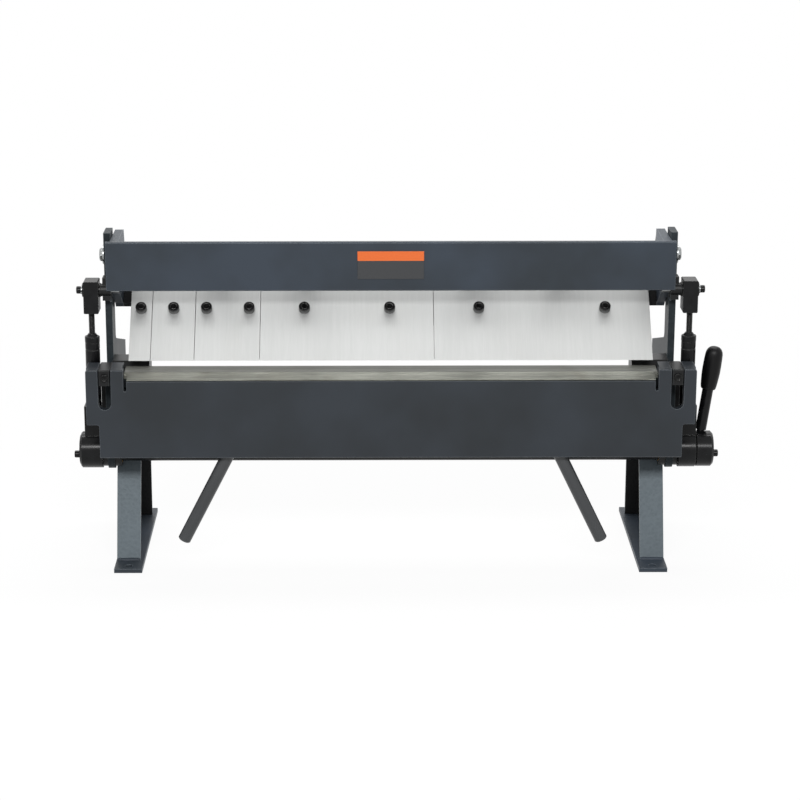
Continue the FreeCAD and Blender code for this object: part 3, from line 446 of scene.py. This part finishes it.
# %% helper for turned pieces
def spun(profile, steps=48):
    """A bmesh made by spinning (radius, height) points, in millimetres, about the Z axis."""
    mesh = bmesh.new()
    points = [mesh.verts.new((radius * mm, 0, height * mm)) for radius, height in profile]
    edges = [mesh.edges.new(points[index:index + 2]) for index in range(len(points) - 1)]
    bmesh.ops.spin(
        mesh, geom=points + edges, axis=(0, 0, 1), cent=(0, 0, 0), angle=math.tau, steps=steps, use_merge=True,
    )
    bmesh.ops.remove_doubles(mesh, verts=mesh.verts, dist=0.005 * mm)
    bmesh.ops.recalc_face_normals(mesh, faces=mesh.faces)
    return mesh


# %% [markdown]
# The same screw sits in many places. Its mesh is made once, and copies of it are joined into one piece, the
# way the CAD keeps identical fasteners in one node. The helper that does this also hangs the piece on the
# body it rides on, hides the solids it stands for, and gives it its finish.

# %% helper for keeping a piece
def keep(mesh, name, body, material, places=(Matrix(),), replaced=(), sharp=30):
    """Puts copies of a bmesh at their places as one piece that rides on a body."""
    whole = bmesh.new()
    for place in places:
        single = mesh.copy()
        bmesh.ops.transform(single, matrix=place, verts=single.verts)
        data = bpy.data.meshes.new(name)
        single.to_mesh(data)
        single.free()
        whole.from_mesh(data)
        bpy.data.meshes.remove(data)
    mesh.free()
    bmesh.ops.recalc_face_normals(whole, faces=whole.faces)
    data = bpy.data.meshes.new(name)
    whole.to_mesh(data)
    whole.free()
    data.shade_smooth()
    data.set_sharp_from_angle(angle=math.radians(sharp))
    piece = bpy.data.objects.new(name, data)
    bpy.context.scene.collection.objects.link(piece)
    dress(piece, material)
    if replaced:
        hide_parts(*replaced)
    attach(piece, body)
    print(name, len(data.polygons), "faces on", body)
    return piece


def facing(direction, spot):
    """A place that turns +Z to a direction and moves the origin to a spot given in millimetres."""
    turn = Vector(direction).to_track_quat("Z", "Y").to_matrix().to_4x4()
    return Matrix.Translation(Vector(spot) * mm) @ turn


def corners(node):
    """The lowest and highest corner of a node, in millimetres."""
    low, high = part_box(node)
    return Vector(low) / mm, Vector(high) / mm


# %% [markdown]
# ## Socket screws
# A socket screw has a cylindrical head, mostly as high as its thread is wide, a knurled side, an eased rim
# and a hexagonal socket. Rings of the same number of points are made at each level, the ones in the
# socket are drawn in to a hexagon, and neighbouring rings are bridged. The knurl is every other point moved in.

# %% helper for socket screws
def ring(mesh, height, radius, hexagon=False, knurl=0.0, count=48):
    """A loop of points at one level, round, knurled or drawn in to a hexagon."""
    made = bmesh.ops.create_circle(mesh, segments=count, radius=radius * mm)
    for index, vert in enumerate(made["verts"]):
        angle = math.atan2(vert.co.y, vert.co.x)
        if hexagon:
            vert.co *= math.cos(math.pi / 6) / math.cos((angle % (math.pi / 3)) - math.pi / 6)
        if knurl and index % 2:
            vert.co *= 1 - knurl / radius
        vert.co.z = height * mm
    return list({edge for vert in made["verts"] for edge in vert.link_edges})


def bridged(mesh, rings):
    """Joins each ring to the next and closes the first and the last."""
    for lower, upper in zip(rings, rings[1:]):
        bmesh.ops.bridge_loops(mesh, edges=lower + upper)
    bmesh.ops.holes_fill(mesh, edges=rings[0] + rings[-1], sides=48)
    bmesh.ops.recalc_face_normals(mesh, faces=mesh.faces)
    return mesh


def socket_screw(head_radius, head_height, key_radius, shank_radius, shank_length, knurl=0.18):
    """A socket screw whose head stands on the plane z = 0, with its shank below."""
    mesh = bmesh.new()
    top = head_height
    floor = top - 0.5 * head_height
    return bridged(mesh, [
        ring(mesh, -shank_length, 0.4 * shank_radius),
        ring(mesh, -shank_length, shank_radius - 0.5),
        ring(mesh, -shank_length + 0.6, shank_radius),
        ring(mesh, 0, shank_radius),
        ring(mesh, 0, head_radius - 0.25),
        ring(mesh, 0.3, head_radius, knurl=knurl),
        ring(mesh, top - 1.0, head_radius, knurl=knurl),
        ring(mesh, top - 0.7, head_radius - 0.1),
        ring(mesh, top - 0.15, head_radius - 0.5),
        ring(mesh, top, head_radius - 0.9),
        ring(mesh, top, key_radius + 0.35),
        ring(mesh, top - 0.35, key_radius, hexagon=True),
        ring(mesh, floor, key_radius, hexagon=True),
        ring(mesh, floor - 0.6, 0.3),
    ])


# %% [markdown]
# The eight finger screws stand square to the sloping face of the fingers. Each finger gives its own
# middle: one screw there in a narrow finger, and two well apart in a wide one, as on the real brake.

# %% finger screws
slope = math.radians(47)
out_of_face = Vector((0, -math.sin(slope), math.cos(slope)))
up_the_face = Vector((0, math.cos(slope), math.sin(slope)))
tip = corners("finger_10_inch")[0]
screws_above_tip = 68.4
screws_from_middle = {
    "finger_1_inch": [0],
    "finger_2_inch": [0],
    "finger_3_inch": [-25, 25],
    "finger_8_inch": [-50, 50],
    "finger_10_inch": [-74, 74],
}
finger_screw_places = []
for name, offsets in screws_from_middle.items():
    low, high = corners(name)
    for offset in offsets:
        spot = Vector(((low.x + high.x) / 2 + offset, tip.y, tip.z)) + screws_above_tip * up_the_face
        finger_screw_places.append(facing(out_of_face, spot))
keep(
    socket_screw(6.5, 8.0, 3.46, 4.0, 21.0), "finger_socket_screws", "beam", black_screws,
    finger_screw_places, ["finger_screws"],
)

# %% [markdown]
# The other socket screws are the same pattern in other sizes: one in the face of each pivot block, which locks
# the hinge pin, one in each end of the clamp shaft, one in each link pin, those behind the
# nose bar, and those of the bed.

# %% the other socket screws
both = (1, -1)
low, high = corners("pin_lock_screws")
radius, head = 5.0, 6.0
keep(
    socket_screw(radius, head, 2.88, 3.0, 19.9), "pin_lock_socket_screws", "frame", black_screws,
    [facing((0, -1, 0), ((high.x - radius) * side, low.y + head, (low.z + high.z) / 2)) for side in both],
    ["pin_lock_screws"],
)
low, high = corners("shaft_end_screws")
shaft_spot = (low + high) / 2
head = 8.0
keep(
    socket_screw(4.2, head, 2.3, 2.5, 13.9), "shaft_end_socket_screws", "clamp_shaft",
    black_screws,
    [facing((1, 0, 0), (high.x - head, shaft_spot.y, shaft_spot.z)),
     facing((-1, 0, 0), (low.x + head, shaft_spot.y, shaft_spot.z))],
    ["shaft_end_screws"],
)
low, high = corners("link_pin_screws")
pin_spot = (low + high) / 2
head = 5.5
keep(
    socket_screw(4.35, head, 2.3, 2.5, 13.5), "link_pin_socket_screws", "beam", blackened_steel,
    [facing((side, 0, 0), ((high.x - head) * side, pin_spot.y, pin_spot.z)) for side in both],
    ["link_pin_screws"],
)
low, high = corners("bed_screws")
radius, head = 6.5, 8.0
keep(
    socket_screw(radius, head, 3.46, 4.0, 45.4), "bed_socket_screws", "frame", black_screws,
    [facing((0, 1, 0), ((high.x - radius) * side, high.y - head, height))
     for side in both for height in (low.z + radius, high.z - radius)],
    ["bed_screws"],
)
low, high = corners("nose_bar_screws")
radius, head, nose_screw_pitch = 5.0, 5.0, 152.4
nose_screw_x = [part * (high.x - radius) for part in (-1, 1)] + [part * nose_screw_pitch for part in (-1, 0, 1)]
keep(
    socket_screw(radius, head, 2.88, 3.0, 12.0), "nose_bar_socket_screws", "apron", black_screws,
    [facing((0, 1, 0), (x, high.y - head, (low.z + high.z) / 2)) for x in nose_screw_x],
    ["nose_bar_screws"],
)

# %% [markdown]
# ## Guide bolts
# A zinc-plated hexagon bolt slides in the slot of each upright. Its head is a six-sided prism whose
# corners are turned off, so the flat top is round. The ring helper draws each level, hexagon
# or round, and bridging a round ring to a hexagonal one makes the turned corners.

# %% guide bolts
def hexagon_bolt(corner_radius, head_height, shank_radius, shank_length):
    """A hexagon bolt whose head stands on the plane z = 0, with its shank below."""
    mesh = bmesh.new()
    flat = corner_radius * math.cos(math.pi / 6)
    top = head_height
    return bridged(mesh, [
        ring(mesh, -shank_length, 0.4 * shank_radius),
        ring(mesh, -shank_length, shank_radius - 0.6),
        ring(mesh, -shank_length + 0.8, shank_radius),
        ring(mesh, 0, shank_radius),
        ring(mesh, 0, flat - 0.2),
        ring(mesh, 0.4, flat - 0.1),
        ring(mesh, 0.4, corner_radius, hexagon=True),
        ring(mesh, top - 1.1, corner_radius, hexagon=True),
        ring(mesh, top, flat - 0.3),
        ring(mesh, top, 0.3),
    ])


low, high = corners("guide_bolts")
guide_spot = (low + high) / 2
guide_head = 3.8
keep(
    hexagon_bolt(8.0, guide_head, 5.0, 20.3), "guide_hexagon_bolts", "beam", zinc_plate,
    [facing((side, 0, 0), ((high.x - guide_head) * side, guide_spot.y, guide_spot.z)) for side in both],
    ["guide_bolts"],
)

# %% [markdown]
# ## Lock washers
# The lock washer under a link screw's head is a coil of square wire with a gap: a square is spun not quite
# all the way round while it climbs a little, and its two ends are closed.

# %% lock washers
def lock_washer(inner, outer, thick, climb):
    """A split ring of square wire, standing on the plane z = 0."""
    mesh = bmesh.new()
    square = bmesh.ops.create_grid(mesh, x_segments=1, y_segments=1, size=0.5)
    wire_size = Matrix.Diagonal(((outer - inner) * mm, (thick - climb) * mm, 1, 1))
    upright = Matrix.Rotation(math.radians(90), 4, "X")
    middle = Matrix.Translation(((inner + outer) / 2 * mm, 0, (thick - climb) / 2 * mm))
    bmesh.ops.transform(mesh, matrix=middle @ upright @ wire_size, verts=square["verts"])
    steps = 46
    bmesh.ops.spin(
        mesh, geom=mesh.faces[:], axis=(0, 0, 1), cent=(0, 0, 0), angle=math.radians(346),
        steps=steps, dvec=(0, 0, climb * mm / steps),
    )
    bmesh.ops.recalc_face_normals(mesh, faces=mesh.faces)
    return mesh


low, high = corners("link_lock_washers")
keep(
    lock_washer(2.5, 5.0, high.x - corners("link_pins")[1].x, 0.2), "split_lock_washers", "beam",
    zinc_plate,
    [facing((side, 0, 0), (corners("link_pins")[1].x * side, pin_spot.y, pin_spot.z)) for side in both],
    ["link_lock_washers"],
)

# %% [markdown]
# ## Links
# Each link pulls the beam down. Above its strap stands a turned barrel with a shallow groove
# near its top, a lock nut that tapers to the thread, and a threaded rod. The thread is a real helix: one tooth
# of the profile is spun while it climbs by one pitch a turn.

# %% barrels, lock nuts and threads
def thread(radius, pitch, low, high):
    """A threaded rod, made by spinning one tooth that climbs."""
    mesh = bmesh.new()
    root = radius - 0.6 * pitch
    tooth = [(root, 0), (root, 0.1), (radius, 0.45), (radius, 0.6), (root, 1)]
    points = [mesh.verts.new((r * mm, 0, (low + part * pitch) * mm)) for r, part in tooth]
    edges = [mesh.edges.new(points[index:index + 2]) for index in range(len(points) - 1)]
    turns = int((high - low) / pitch) - 1
    steps = 20
    bmesh.ops.spin(
        mesh, geom=points + edges, axis=(0, 0, 1), cent=(0, 0, 0), angle=math.tau * turns,
        steps=steps * turns, dvec=(0, 0, pitch * mm / steps),
    )
    bmesh.ops.remove_doubles(mesh, verts=mesh.verts, dist=0.005 * mm)
    bmesh.ops.recalc_face_normals(mesh, faces=mesh.faces)
    return mesh


for side, name in ((1, "right"), (-1, "left")):
    low, high = corners(name + "_link_barrel")
    axis = (low + high) / 2
    foot, top = low.z, high.z
    spot = [Matrix.Translation(Vector((axis.x, axis.y, 0)) * mm)]
    body = name + "_link"
    barrel_profile = [
        (4.0, foot), (8.1, foot), (8.5, foot + 0.4), (8.5, top - 9.4), (8.1, top - 9), (8.1, top - 8.2),
        (8.5, top - 7.8), (8.5, top - 0.6), (8.1, top), (4.0, top),
    ]
    keep(spun(barrel_profile), name + "_turned_barrel", body, blackened_steel, spot,
         [name + "_link_barrel"])
    low, high = corners(name + "_link_lock_nut")
    lock_nut_profile = [
        (3.7, low.z), (8.3, low.z), (8.7, low.z + 0.5), (8.7, high.z - 3.7), (8.2, high.z - 3),
        (6.5, high.z - 2.9), (4.7, high.z), (3.7, high.z),
    ]
    keep(spun(lock_nut_profile), name + "_tapered_lock_nut", body, blackened_steel, spot,
         [name + "_link_lock_nut"])
    low, high = corners(name + "_link_rod")
    keep(thread(3.7, 1.25, low.z, high.z), name + "_threaded_rod", body, blackened_steel, spot,
         [name + "_link_rod"], sharp=50)

# %% [markdown]
# ## Grip
# The lever ends in a moulded grip that widens towards a domed top, so that the hand doesn't slip off. It is
# spun from a profile, like the turned pieces, and a Subdivision Surface then rounds the steps between
# the points, which a moulding has and a turned piece hasn't.

# %% lever grip
grip_profile = [
    (0, 0), (7.9, 0), (8.5, 0.3), (9.4, 3.2), (10.05, 11), (10.75, 19), (10.75, 27), (10.6, 34), (10.36, 41.3),
    (9.8, 45.4), (7.7, 49.2), (4.4, 51.3), (0, 51.5),
]
lever_tilt = math.radians(7.8)
grip_axis = Vector((math.sin(lever_tilt), 0, math.cos(lever_tilt)))
low, high = corners("lever_grip")
lever_root_x, lever_root_z, grip_foot_z = 366.5, 160, 209
grip_foot_x = lever_root_x + (grip_foot_z - lever_root_z) * math.tan(lever_tilt)
grip_foot = (grip_foot_x, (low.y + high.y) / 2, grip_foot_z)
grip = keep(
    spun(grip_profile, 32), "moulded_grip", "clamp_shaft", grip_plastic,
    [facing(grip_axis, grip_foot)], ["lever_grip"], sharp=70,
)
rounding = grip.modifiers.new("rounding", "SUBSURF")
rounding.levels = 2
rounding.render_levels = 2

# %% [markdown]
# ## Weld beads
# The feet, legs, bed blocks, cheeks, ribs, brackets and ears are welded, then painted over. A fillet bead
# is a row of overlapping drops about 2 mm apart, laid in the corner between two plates. Its cross-section
# is a quarter circle with its back sunk in the corner. A spin with no angle copies the section step by step
# along the joint, and each copy then swells or shrinks, and shrinks to little at the two ends.

# %% helper for weld beads
def bead(start, end, first, second, leg=2.2):
    """A fillet weld from start to end, in the corner between plates that run along first and second."""
    start, end, first, second = (Vector(item) for item in (start, end, first, second))
    length = (end - start).length
    steps = max(8, round(length / 0.9))
    mesh = bmesh.new()
    arc = [math.radians(angle) for angle in (-8, 12, 33, 57, 78, 98)]
    section = [mesh.verts.new((math.cos(angle), math.sin(angle), 0)) for angle in arc]
    section.append(mesh.verts.new((-0.12, -0.12, 0)))
    face = mesh.faces.new(section)
    bmesh.ops.spin(
        mesh, geom=[face], axis=(0, 0, 1), cent=(0, 0, 0), angle=0, steps=steps, dvec=(0, 0, 1 / steps),
    )
    for vert in mesh.verts:
        along = vert.co.z * length
        from_end = min(along, length - along)
        drop = 1 + 0.09 * math.cos(math.tau * along / 2.1) + 0.05 * math.sin(along / 5.3)
        size = leg * drop * min(1, 0.45 + from_end / 3)
        sag = 1 - 0.12 * math.sin(2 * math.atan2(vert.co.y, vert.co.x)) ** 2
        vert.co.x *= size * sag
        vert.co.y *= size * sag
    along = (end - start).normalized()
    frame_of_bead = Matrix((first.normalized(), second.normalized(), along * length)).transposed().to_4x4()
    place = Matrix.Scale(mm, 4) @ Matrix.Translation(start) @ frame_of_bead
    bmesh.ops.transform(mesh, matrix=place, verts=mesh.verts)
    return mesh


def weld(name, body, material, beads):
    """One piece of all the beads of one body and paint, given for the right side and mirrored to the left."""
    whole = bmesh.new()
    data = bpy.data.meshes.new(name)
    for single in beads:
        made = bead(*single)
        made.to_mesh(data)
        made.free()
        whole.from_mesh(data)
    bpy.data.meshes.remove(data)
    flip = Matrix.Diagonal((-1, 1, 1, 1))
    return keep(whole, name, body, material, [Matrix(), flip], sharp=60)


# %% [markdown]
# Each bead is given by the two ends of its corner and by the directions of the two plates that
# meet there. The places come from the boxes of the solids, so the beads stay on them.

# %% beads of the stand
leg_low, leg_high = corners("right_leg")
foot_top = corners("right_foot")[1].z
plate_low, plate_high = corners("right_side_plate")
up_the_leg = (0, leg_slope, 1)
knee_y = -19.5
under_plate_y = leg_low.y + (plate_low.z - foot_top) * leg_slope
weld("foot_welds", "frame", slate_enamel, [
    ((leg_low.x, leg_low.y, foot_top), (leg_high.x, leg_low.y, foot_top), (0, -1, 0), up_the_leg),
    ((leg_low.x, leg_high.y, foot_top), (leg_high.x, leg_high.y, foot_top), (0, 1, 0), (0, 0, 1)),
])
weld("leg_welds", "frame", hammered_plates_painted_shade, [
    ((plate_low.x, knee_y, leg_high.z), (plate_low.x, leg_high.y, leg_high.z), (0, 0, 1), (-1, 0, 0)),
    ((plate_low.x, under_plate_y, plate_low.z), (plate_low.x, leg_high.y, plate_low.z), (1, 0, 0), (0, 0, -1)),
])
low, high = corners("bed_blocks")
weld("bed_block_welds", "frame", black_enamel, [
    ((plate_low.x, low.y + 2, low.z), (plate_low.x, high.y, low.z), (0, 0, -1), (-1, 0, 0), 2.0),
    ((plate_low.x, high.y, low.z), (plate_low.x, high.y, high.z), (0, 1, 0), (-1, 0, 0), 2.0),
])

# %% [markdown]
# The beam is a box of plates: its ribs and cheeks meet the back of the hood. Long seams on thin plate are
# welded in short stitches with gaps between, so that the heat doesn't pull the beam out of true.

# %% beads of the beam and the apron
hood_low, hood_high = corners("beam_hood")
cheek_low, cheek_high = corners("right_beam_cheek")
rib_half = 3.0
rib_x = 101.6
stitches = []
stitch = 20
for bottom in (hood_low.z + 8, hood_high.z - stitch - 10):
    corner = (cheek_low.x, hood_high.y)
    stitches.append(((*corner, bottom), (*corner, bottom + stitch), (-1, 0, 0), (0, 1, 0)))
    for x in (rib_x, 2 * rib_x):
        for way in both:
            corner = (x + way * rib_half, hood_high.y)
            stitches.append(((*corner, bottom), (*corner, bottom + stitch), (way, 0, 0), (0, 1, 0)))
bracket_back = corners("link_brackets")[1].y
bracket_low_z, bracket_high_z = 318, 345
lower_corner = (cheek_high.x, bracket_back, bracket_low_z)
upper_corner = (cheek_high.x, bracket_back, bracket_high_z)
stitches.append(((cheek_high.x, hood_high.y + 1, bracket_low_z), lower_corner, (0, 0, -1), (1, 0, 0), 2.0))
stitches.append((lower_corner, upper_corner, (0, 1, 0), (1, 0, 0), 2.0))
weld("beam_welds", "beam", slate_enamel, stitches)

apron_back = corners("apron_plate")[1].y
ear_foot = corners("apron_ears")[0].z
under_the_ear = (0, 25, 19)
beads_under_ears = ((311, 322.5), (338.5, 351))
weld("apron_ear_welds", "apron", apron_enamel_painted_shade, [
    ((start, apron_back, ear_foot), (end, apron_back, ear_foot), (0, 0, -1), under_the_ear, 2.0)
    for start, end in beads_under_ears
])

# %% [markdown]
# ## Studio
# The floor is plain and pale, and the backdrop is white. Both are white to the camera and to what shines,
# while the light that the room sheds on the object stays weak, so that the folds and undersides keep
# their depth. A wide, low softbox stands in front, 30 degrees up, and draws a bright band along everything
# round that lies across, such as the hubs. A long strip hangs overhead and lights the top edges, and a weak
# softbox stands behind, so that the back isn't left in the dark.

# %% lights
def area_light(name, spot, target, size, energy):
    """A rectangular softbox at a spot, turned to a target."""
    data = bpy.data.lights.new(name, "AREA")
    data.shape = "RECTANGLE"
    data.size, data.size_y = size
    data.energy = energy
    lamp = bpy.data.objects.new(name, data)
    lamp.location = spot
    lamp.rotation_euler = (Vector(target) - Vector(spot)).to_track_quat("-Z", "Y").to_euler()
    bpy.context.scene.collection.objects.link(lamp)


area_light("front_softbox", (-0.1, -2.4, 1.62), (0, -0.1, 0.22), (2.1, 0.42), 58)
area_light("overhead_strip", (0, 0.55, 2.1), (0, -0.1, 0.2), (2.4, 0.3), 24)
area_light("rear_softbox", (0, 1.9, 2.2), (0, 0.05, 0.2), (2.0, 0.8), 16)
print("two softboxes and one strip")

# %% [markdown]
# The Light Path node tells a shader which kind of ray asks. Rays from the camera, from a shiny surface or
# through glass see plain white of strength 1, and the rest get the room's weak light.

# %% room and floor
def asks_for_white(tree):
    """1 for a ray from the camera, a shiny surface or glass, and 0 for any other."""
    rays = add(tree, "LightPath")
    first = add(
        tree, "Math", settings={"operation": "MAXIMUM"},
        links={0: rays.outputs["Is Camera Ray"], 1: rays.outputs["Is Glossy Ray"]},
    ).outputs[0]
    return add(
        tree, "Math", settings={"operation": "MAXIMUM"},
        links={0: first, 1: rays.outputs["Is Transmission Ray"]},
    ).outputs[0]


world = bpy.data.worlds.new("studio")
bpy.context.scene.world = world
world.use_nodes = True
tree = world.node_tree
room = tree.nodes["Background"]
room.inputs["Color"].default_value = linear("#f4f5f6")
room.inputs["Strength"].default_value = 0.25
white = add(tree, "Background", values={"Color": (1, 1, 1, 1), "Strength": 1.0})
mix = add(tree, "MixShader", links={0: asks_for_white(tree), 1: room.outputs[0], 2: white.outputs[0]})
tree.links.new(mix.outputs[0], tree.nodes["World Output"].inputs["Surface"])

disc = bmesh.new()
bmesh.ops.create_circle(disc, cap_ends=True, segments=96, radius=3.0)
floor_data = bpy.data.meshes.new("pale_floor")
disc.to_mesh(floor_data)
disc.free()
floor = bpy.data.objects.new("pale_floor", floor_data)
bpy.context.scene.collection.objects.link(floor)

# %% [markdown]
# The floor is matt white, and the object's shadow lies on it. To the camera it is mixed with plain white, which
# keeps the shadow faint, and away from the object it clears, so that it has no edge against the backdrop.

# %% floor finish
floor_paint, tree, shader = start_finish("pale_floor_paint", Roughness=0.9)
shader.inputs["Base Color"].default_value = linear("#c8c8c8")
seen_floor = add(tree, "BsdfDiffuse", values={"Color": linear("#ffffff")})
plain_white = add(tree, "Emission", values={"Color": (1, 1, 1, 1), "Strength": 1.0})
softened = add(tree, "MixShader", values={0: 0.92}, links={1: seen_floor.outputs[0], 2: plain_white.outputs[0]})
by_ray = add(tree, "MixShader", links={0: asks_for_white(tree), 1: shader.outputs[0], 2: softened.outputs[0]})
where = add(tree, "TexCoord").outputs["Object"]
away = add(tree, "VectorMath", settings={"operation": "LENGTH"}, links={0: where}).outputs["Value"]
fade = spread(tree, away, 0.0, 1.0, start=0.5, stop=1.3)
clear = add(tree, "BsdfTransparent")
mix = add(tree, "MixShader", links={0: fade, 1: by_ray.outputs[0], 2: clear.outputs[0]})
tree.links.new(mix.outputs[0], tree.nodes["Material Output"].inputs["Surface"])
dress(floor, floor_paint)
print("floor and room")

# %% [markdown]
# ## Camera
# A long lens, 2.8 m away and half a metre above the hood, looks down by 15.66 degrees, as in a
# catalogue picture. The camera also leans a tenth of a degree, which a level can't see but a ruler can.

# %% camera
camera_data = bpy.data.cameras.new("front_camera")
camera_data.lens = 108.5
camera_data.sensor_width = 36
camera_data.shift_x = 0.0505
camera = bpy.data.objects.new("front_camera", camera_data)
camera.location = (-0.0362, -2.7927, 0.9617)
look_down = Matrix.Rotation(math.radians(90 - 15.66), 3, "X")
lean = Matrix.Rotation(math.radians(-0.104), 3, "Z")
camera.rotation_euler = (look_down @ lean).to_euler()
bpy.context.scene.collection.objects.link(camera)
bpy.context.scene.camera = camera
bpy.context.scene.view_settings.view_transform = "Standard"
print("camera at", tuple(camera.location))
